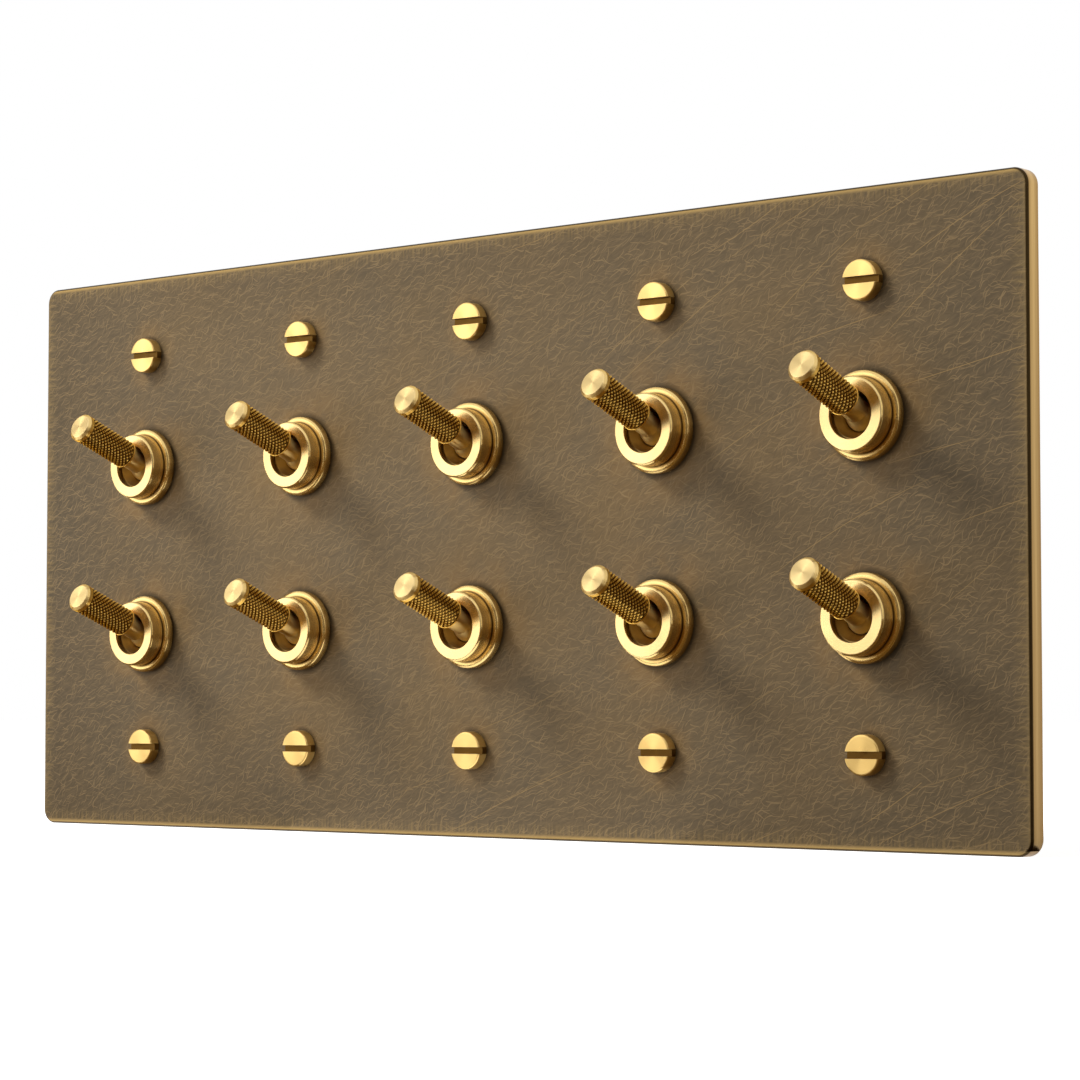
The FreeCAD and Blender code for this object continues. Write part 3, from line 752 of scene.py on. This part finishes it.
def long_scratches(nodes, flat):
    """Long thin scratches that climb to the right, stronger towards the right."""
    layers = []
    for number, size in enumerate(SCRATCH_CELLS):
        shift = (SCRATCH_SHIFT[0] * number, SCRATCH_SHIFT[1] * number, 0)
        layers.append(strokes(
            nodes, flat, size, SCRATCH_SLANT, SCRATCH_SPREAD,
            SCRATCH_REACH, SCRATCH_WIDTH / size, SCRATCH_BEND, shift,
        ))
    to_right = nodes.remap(nodes.x, PLATE_LOW.x, PLATE_HIGH.x, 0.35, 1.0)
    return nodes.times(strongest(nodes, layers), to_right)


def from_rim(nodes):
    """Distances in from the plate's nearer side, and from the nearer of its top and bottom."""
    across = nodes.math("SUBTRACT", PLATE_HIGH.x, nodes.math("ABSOLUTE", nodes.x))
    upright = nodes.math("SUBTRACT", PLATE_HIGH.z, nodes.math("ABSOLUTE", nodes.z))
    return across, upright


def edge_wear(nodes, across, upright):
    """Where the plate's edge is rubbed bright: a line, fainter at the sides, and short streaks."""
    inward = nodes.math("MINIMUM", across, upright)
    at_side = nodes.math("LESS_THAN", across, upright)
    along = nodes.plus(nodes.x, nodes.times(at_side, nodes.math("SUBTRACT", nodes.z, nodes.x)))
    streaks = nodes.noise(nodes.vector(nodes.times(along, 1 / WEAR_STREAK), 0.0, 0.0), 3.0)
    rubbed = nodes.remap(streaks, 0.42, 0.75)
    line = nodes.remap(inward, WEAR_LINE_START, WEAR_LINE_END, 1.0, 0.0)
    line = nodes.times(line, nodes.remap(at_side, 0.0, 1.0, 1.0, 0.3))
    fading = nodes.remap(inward, WEAR_LINE_START, WEAR_REACH, 0.6, 0.0)
    return nodes.most(line, nodes.times(rubbed, fading))


def patina_and_painted_shade(nodes, patches, across, upright):
    """The plate's dark skin, cloudy, with painted shade darkening both ends, and darker along the
    rim.
    """
    face = nodes.mix(nodes.remap(patches, 0.3, 0.7), PATINA_GREY, PATINA_WARM)
    # Painted shade that darkens the plate towards its left and right ends.
    painted_end_shade = nodes.most(
        nodes.remap(nodes.x, PLATE_LOW.x, 0.5 * PLATE_LOW.x, 0.90, 0.0),
        nodes.remap(nodes.x, 0.3 * PLATE_HIGH.x, PLATE_HIGH.x, 0.0, 0.60),
    )
    # Darker along the rim.
    rim = nodes.remap(nodes.math("MINIMUM", across, upright), 0.0, DARKER_RIM_REACH, 0.60, 0.0)
    return nodes.mix(nodes.most(painted_end_shade, rim), face, DEEP_PATINA_AND_SHADE)


def plate_face(nodes, patches):
    """Colour of the plate's front: patina, painted reflected glow, haze, scratches, worn edge,
    painted shade and grime.
    """
    flat = nodes.vector(nodes.x, nodes.z, 0.0)
    column = from_column(nodes)
    to_switch = nodes.length(column, above_row(nodes, 0.5 * ROW_SPACING))
    to_screw = nodes.length(column, above_row(nodes, SCREW_ROW))
    across, upright = from_rim(nodes)
    face = patina_and_painted_shade(nodes, patches, across, upright)
    # Painted reflection: a warm glow of the brass fittings on the plate round each collar and
    # screw.
    reflected_glow = nodes.most(
        nodes.remap(to_switch, *SWITCH_REFLECTED_GLOW, 0.75, 0.0),
        nodes.remap(to_screw, *SCREW_REFLECTED_GLOW, 0.60, 0.0),
    )
    reflected_glow = nodes.times(reflected_glow, nodes.remap(nodes.cloud(REFLECTED_GLOW_PATCH), 0.32, 0.62))
    face = nodes.mix(reflected_glow, face, REFLECTED_GLOW_COLOUR)
    haze = polish_haze(nodes, flat)
    face = nodes.mix(nodes.times(haze, HAZE_STRENGTH), face, HAZE_COLOUR)
    dark = hairs(nodes, flat, DARK_HAIR_CELLS, DARK_HAIR_START)
    face = nodes.mix(nodes.times(dark, DARK_HAIR_STRENGTH), face, DARK_HAIR)
    light = hairs(nodes, flat, LIGHT_HAIR_CELLS, LIGHT_HAIR_START)
    face = nodes.mix(nodes.times(light, LIGHT_HAIR_STRENGTH), face, LIGHT_HAIR)
    scratches = long_scratches(nodes, flat)
    face = nodes.mix(nodes.times(scratches, SCRATCH_STRENGTH), face, SCRATCH_COLOUR)
    face = nodes.mix(edge_wear(nodes, across, upright), face, WEAR_COLOUR)
    # Painted contact shade, with grime, in a thin dark ring round each collar and screw.
    contact_shade_and_grime = nodes.most(
        nodes.remap(to_switch, BEZEL_RADIUS, BEZEL_RADIUS + SWITCH_SHADE_AND_GRIME, 0.85, 0.0),
        nodes.remap(to_screw, HEAD_RADIUS, HEAD_RADIUS + SCREW_SHADE_AND_GRIME, 0.75, 0.0),
    )
    return nodes.mix(contact_shade_and_grime, face, GRIME_AND_CONTACT_SHADE)


def plate_side(nodes, facing):
    """Colour of the plate's bare sides: grained brass with a painted highlight down the middle,
    darker lower down, painted shade where rounded.
    """
    grain = nodes.noise(nodes.laid(nodes.place, SIDE_GRAIN), 2.0)
    middle = 0.5 * (PLATE_LOW.y + PLATE_HIGH.y)
    off_middle = nodes.math("ABSOLUTE", nodes.plus(nodes.y, -middle))
    # Painted highlight: the grain is lighter along the middle of each side.
    painted_highlight = nodes.times(grain, nodes.remap(off_middle, *SIDE_HIGHLIGHT_BAND, 1.3, 0.3))
    bare = nodes.mix(painted_highlight, SIDE_DEEP, SIDE_LIGHT)
    # Darker towards the bottom of the sides.
    lower_darkening = nodes.remap(nodes.z, PLATE_LOW.z, PLATE_HIGH.z, 0.62, 0.12)
    bare = nodes.mix(lower_darkening, bare, SIDE_LOWER_DARK)
    # Painted shade on the rounded edge between the front and the sides.
    return nodes.mix(nodes.remap(facing, 0.05, 0.25), bare, ROUND_EDGE_SHADE)


def aged_plate():
    """Dark patinated brass in front, bare brass at the sides and back."""
    nodes = Nodes("aged_plate")
    normal = nodes.split(nodes.add("ShaderNodeTexCoord").outputs["Normal"])
    facing = nodes.times(normal[1], -1.0)
    to_front = nodes.remap(facing, 0.86, 0.99)
    patches = nodes.cloud(PATINA_PATCH, 4.0)
    face = plate_face(nodes, patches)
    nodes.set("Base Color", nodes.mix(to_front, plate_side(nodes, facing), face))
    nodes.set("Metallic", nodes.remap(to_front, 0.0, 1.0, 1.0, 0.28))
    nodes.set("Specular IOR Level", 0.2)
    uneven = nodes.remap(patches, 0, 1, 0.27, 0.37)
    nodes.set("Roughness", nodes.plus(nodes.times(to_front, 0.18), uneven))
    nodes.bump(nodes.cloud(PLATE_SKIN, 2.0), SKIN_BUMP, 0.3)
    return nodes.material


def lathe_tone(nodes, radius):
    """Uneven tone of a turned surface: fine rings about its axis and a cloudy sheen."""
    rings = nodes.noise(nodes.vector(nodes.times(radius, LATHE_LINES_PER_METRE), 0.0, 0.0))
    sheen = nodes.cloud(LATHE_PATCH)
    return rings, nodes.plus(nodes.times(rings, 0.55), nodes.times(sheen, 0.45))


def turned_brass(nodes, radius, along, shade_and_grime, rough=0.21, sheen=0.9, golden=0.0, clean=0.0):
    """Bright lathe-turned brass, dull and painted dark in its recesses: painted shade, and grime at
    joints; golden or clean where told.
    """
    rings, tone = lathe_tone(nodes, radius)
    bright = nodes.mix(nodes.most(tone, clean), BRASS_DEEP, BRASS_LIGHT)
    bright = nodes.mix(golden, bright, BRASS_GOLD)
    # Painted shade, and grime at joints, darken the colour where the mask is set.
    nodes.set("Base Color", nodes.mix(shade_and_grime, bright, BRASS_SHADE_AND_GRIME))
    nodes.set("Metallic", 1.0)
    finish = nodes.remap(tone, 0.2, 0.8, rough, rough + 0.09)
    nodes.set("Roughness", nodes.plus(finish, nodes.times(shade_and_grime, 0.12)))
    nodes.bump(rings, FINE_BUMP, 0.3)
    nodes.turned_sheen(sheen, along)
    return nodes.material


def collar_brass():
    """Brass of the ring nuts and bezel washers, with painted shade inside the nut, a dark joint and
    clean front faces.
    """
    nodes = Nodes("collar_brass")
    column = from_column(nodes)
    height = above_row(nodes, 0.5 * ROW_SPACING)
    radius = nodes.length(column, height)
    # Painted shade inside the nut, behind its lip.
    behind = nodes.math("GREATER_THAN", nodes.y, RING_FRONT + 0.5 * RING_LIP)
    shade_inside_nut = nodes.times(behind, nodes.remap(radius, RING_MOUTH, RING_BORE, 0.8, 0.0))
    off_joint = nodes.length(nodes.plus(nodes.y, -BEZEL_FRONT), nodes.plus(radius, -RING_RADIUS))
    shade_and_grime = nodes.most(shade_inside_nut, nodes.remap(off_joint, *JOINT_GRIME, 0.9, 0.0))
    front = nodes.remap(nodes.y, RING_FRONT + FACE_START, RING_FRONT + RING_CHAMFER, 0.85, 0.0)
    return turned_brass(nodes, radius, nodes.vector(column, radius, height), shade_and_grime, clean=front)


def screw_brass():
    """Brass of the plate screws, with painted shade in the slots."""
    nodes = Nodes("screw_brass")
    column = from_column(nodes)
    height = above_row(nodes, SCREW_ROW)
    radius = nodes.length(column, height)
    # Painted shade down in the slots.
    sunk = nodes.remap(nodes.y, SCREW_LOW.y + 0.15 * SLOT_DEPTH, SCREW_LOW.y + 0.8 * SLOT_DEPTH)
    beside = nodes.math("ABSOLUTE", height)
    shade_and_grime = nodes.times(sunk, nodes.remap(beside, 0.50 * SLOT_WIDTH, 0.55 * SLOT_WIDTH, 0.95, 0.0))
    along = nodes.vector(column, radius, height)
    return turned_brass(nodes, radius, along, shade_and_grime, rough=0.25, golden=0.2, clean=0.5)


def lever_brass():
    """Brass of the dollies, with painted shade between the diamonds of the knurl and on the neck in
    its socket, and clean at the tip.
    """
    nodes = Nodes("lever_brass")
    column = from_column(nodes)
    height = above_row(nodes, 0.5 * ROW_SPACING)
    depth = nodes.plus(nodes.y, -PIVOTS[0].y)
    cosine = math.cos(TILT)
    sine = math.sin(TILT)
    across = nodes.plus(nodes.times(height, cosine), nodes.times(depth, sine))
    outward = nodes.plus(nodes.times(height, sine), nodes.times(depth, -cosine))
    radius = nodes.length(column, across)
    along = nodes.vector(
        column,
        nodes.plus(nodes.times(across, sine), nodes.times(radius, cosine)),
        nodes.plus(nodes.times(across, cosine), nodes.times(radius, -sine)),
    )
    # Painted shade in the grooves between the knurl's diamonds.
    groove = nodes.remap(
        radius, GRIP_RADIUS - 0.7 * KNURL_DEPTH, GRIP_RADIUS - 0.15 * KNURL_DEPTH, 0.92, 0.0
    )
    band = [DOLLY_LENGTH - distance for distance in TIP_BAND]
    behind_tip = nodes.remap(outward, *band, 1.0, 0.0)
    before_foot = nodes.remap(outward, GRIP_FOOT, GRIP_FOOT + GRIP_FOOT_BREAK)
    # Painted shade on the neck and ball, down in the socket.
    socket = nodes.remap(outward, BALL_RADIUS, GRIP_FOOT, 0.45, 0.0)
    knurled = nodes.times(behind_tip, before_foot)
    shade_and_grime = nodes.most(nodes.times(groove, knurled), socket)
    tip = nodes.remap(outward, *[DOLLY_LENGTH - distance for distance in TIP_FACE])
    nodes.set("Specular Tint", BRASS_EDGE)
    return turned_brass(
        nodes, radius, along, shade_and_grime, rough=0.28, sheen=0.96, golden=knurled, clean=tip
    )


def plain_metal(name, light, deep, rough, grain):
    """Machined or plated metal with a fine grain of the given size along each axis."""
    nodes = Nodes(name)
    streaks = nodes.noise(nodes.laid(nodes.place, grain), 3.0)
    tone = nodes.plus(nodes.times(streaks, 0.6), nodes.times(nodes.cloud(METAL_PATCH), 0.4))
    nodes.set("Base Color", nodes.mix(tone, deep, light))
    nodes.set("Metallic", 1.0)
    nodes.set("Roughness", nodes.remap(tone, 0.2, 0.8, rough - 0.06, rough + 0.10))
    nodes.bump(streaks, FINE_BUMP, 0.3)
    return nodes.material


def moulding(name, light, deep, rough, fleck):
    """Moulded plastic with a faint fleck and a fine skin."""
    nodes = Nodes(name)
    grain = nodes.cloud(fleck, 4.0)
    nodes.set("Base Color", nodes.mix(grain, deep, light))
    nodes.set("Roughness", nodes.remap(grain, 0.3, 0.7, rough - 0.08, rough + 0.08))
    nodes.bump(nodes.cloud(fleck / 6), MOULDED_BUMP, 0.4)
    return nodes.material


def dress_node(name, material):
    """Gives a CAD node a material."""
    for slot in frame["nodes"][name].material_slots:
        slot.material = material


def dress_frame():
    """Materials for the nodes that keep their CAD shape."""
    steel = plain_metal(
        "zinc_steel", (0.62, 0.63, 0.62, 1), (0.42, 0.43, 0.43, 1), 0.34, GRAIN_BY_HEIGHT
    )
    stamped = plain_metal(
        "stamped_brass", (0.72, 0.52, 0.25, 1), (0.52, 0.36, 0.15, 1), 0.32, GRAIN_BY_DEPTH
    )
    cup = plain_metal(
        "bush_brass", (0.62, 0.44, 0.18, 1), (0.46, 0.30, 0.10, 1), 0.34, GRAIN_BY_DEPTH
    )
    copper = plain_metal(
        "copper", (0.80, 0.44, 0.27, 1), (0.56, 0.27, 0.15, 1), 0.30, GRAIN_BY_DEPTH
    )
    phenolic = moulding(
        "phenolic", (0.040, 0.033, 0.028, 1), (0.016, 0.013, 0.011, 1), 0.42, 2.0 * MM
    )
    nylon = moulding("nylon", (0.84, 0.82, 0.76, 1), (0.72, 0.70, 0.64, 1), 0.40, 1.4 * MM)
    dress_node("face_plate", aged_plate())
    dress_node("threaded_bushes", cup)
    for name in ("hex_nuts", "brackets", "pivot_pins"):
        dress_node(name, steel)
    for name in ("terminals", "terminal_screws"):
        dress_node(name, stamped)
    for number in range(1, len(PIVOTS) + 1):
        dress_node(f"switch_housing_{number}", phenolic)
        dress_node(f"plunger_{number}", nylon)
        dress_node(f"spring_{number}", steel)
        dress_node(f"rocker_{number}", copper)


def add_pieces():
    """The finer pieces, each riding on its body in place of its CAD node."""
    collar = collar_brass()
    for piece, node in (
        (ring_nuts(collar), "ring_nuts"),
        (bezel_washers(collar), "bezel_washers"),
        (plate_screws(screw_brass()), "plate_screws"),
    ):
        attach(piece, "panel")
        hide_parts(node)
    for number, piece in enumerate(dollies(lever_brass()), start=1):
        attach(piece, f"lever_{number}")
        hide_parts(f"dolly_{number}")


def add_floor():
    """A plain pale floor under the plate's lower edge, white to the camera but for its shadows."""
    mesh = bmesh.new()
    bmesh.ops.create_grid(mesh, x_segments=1, y_segments=1, size=FLOOR_SIZE)
    bmesh.ops.translate(mesh, vec=(0, 0, CAD_BOX[0][2]), verts=mesh.verts)
    nodes = Nodes("floor")
    nodes.set("Base Color", FLOOR_GREY)
    nodes.set("Roughness", MATT)
    path = nodes.add("ShaderNodeLightPath").outputs
    seen = nodes.most(path["Is Camera Ray"], path["Is Glossy Ray"])
    seen = nodes.most(seen, path["Is Transmission Ray"])
    nodes.set("Emission Color", (1, 1, 1, 1))
    nodes.set("Emission Strength", nodes.times(seen, FLOOR_GLOW))
    add_object("floor", finish_mesh(mesh, "floor"), nodes.material)


def add_card(name, rings):
    """A dark brown studio card between two rows of points, seen only in the metal's reflections."""
    mesh = bmesh.new()
    rows = [[mesh.verts.new(point) for point in row] for row in rings]
    for index in range(len(rows[0]) - 1):
        mesh.faces.new((rows[0][index], rows[0][index + 1], rows[1][index + 1], rows[1][index]))
    nodes = Nodes(name)
    nodes.set("Base Color", CARD_BROWN)
    nodes.set("Roughness", MATT)
    card = add_object(name, finish_mesh(mesh, name), nodes.material)
    card.visible_camera = False
    card.visible_diffuse = False
    card.visible_shadow = False


def add_cards():
    """Dark cards round the front, each between two bearings, with a bright gap at the left."""
    floor = CAD_BOX[0][2]

    def arc(radius, z, first, last, steps=12):
        angles = [math.radians(first + (last - first) * step / steps) for step in range(steps + 1)]
        return [(radius * math.sin(angle), -radius * math.cos(angle), z) for angle in angles]

    for name, first, last, top in (
        ("left", -90, -66, 0.60),
        ("front", -5, 44, 0.60),
        ("right", 70, 90, 0.20),
    ):
        low = arc(CARD_DISTANCE, floor, first, last)
        add_card(f"{name}_card", (low, arc(CARD_DISTANCE, top, first, last)))
    for name, first, last, far in (
        ("left_floor", -90, -66, CARD_DISTANCE),
        ("middle_floor", -66, -28, 0.24),
        ("right_floor", -28, 90, CARD_DISTANCE),
    ):
        near = arc(CARD_NEAR, floor + MM, first, last)
        add_card(f"{name}_card", (near, arc(far, floor + MM, first, last)))


def add_world():
    """White to the camera and in reflections, softer as light."""
    world = bpy.data.worlds.new("studio")
    bpy.context.scene.world = world
    world.use_nodes = True
    tree = world.node_tree
    back = tree.nodes["Background"]
    back.inputs["Color"].default_value = (1, 1, 1, 1)
    path = tree.nodes.new("ShaderNodeLightPath").outputs
    seen = path["Is Camera Ray"]
    for kind in ("Is Glossy Ray", "Is Transmission Ray"):
        either = tree.nodes.new("ShaderNodeMath")
        either.operation = "MAXIMUM"
        tree.links.new(seen, either.inputs[0])
        tree.links.new(path[kind], either.inputs[1])
        seen = either.outputs[0]
    level = tree.nodes.new("ShaderNodeMapRange")
    level.inputs["To Min"].default_value = WORLD_LIGHT
    tree.links.new(seen, level.inputs["Value"])
    tree.links.new(level.outputs["Result"], back.inputs["Strength"])


def add_lamp(name, place, size, power):
    """A soft square lamp that points at the part."""
    data = bpy.data.lights.new(name, "AREA")
    data.shape = "SQUARE"
    data.size = size
    data.energy = power
    lamp = bpy.data.objects.new(name, data)
    lamp.location = place
    lamp.rotation_euler = (-Vector(place)).to_track_quat("-Z", "Y").to_euler()
    bpy.context.scene.collection.objects.link(lamp)
    return lamp


def add_lights():
    """A key light from the upper left in front, and a wide panel that the flat faces mirror."""
    key = add_lamp("key", place=(-0.78, -0.63, 0.85), size=0.36, power=26.5)
    key.visible_glossy = False
    panel = add_lamp("panel_light", place=(-0.95, -0.95, 0.36), size=0.90, power=2.75)
    panel.visible_diffuse = False


def add_camera():
    """The photograph's viewpoint: in front and to the right, looking up slightly."""
    frame_px = 1080.0
    focal_px = 3124.3
    pitch = 0.0533
    swing = 0.6999
    data = bpy.data.cameras.new("camera")
    data.sensor_width = 36.0
    data.lens = focal_px / frame_px * data.sensor_width
    data.clip_start = 0.01
    camera = bpy.data.objects.new("camera", data)
    camera.location = (0.4002, -0.4584, -0.0332)
    camera.rotation_euler = (math.pi / 2 + pitch, 0, swing)
    bpy.context.scene.collection.objects.link(camera)
    bpy.context.scene.camera = camera


dress_frame()
add_pieces()
add_floor()
add_cards()
add_world()
add_lights()
add_camera()
bpy.context.scene.view_settings.view_transform = "Standard"
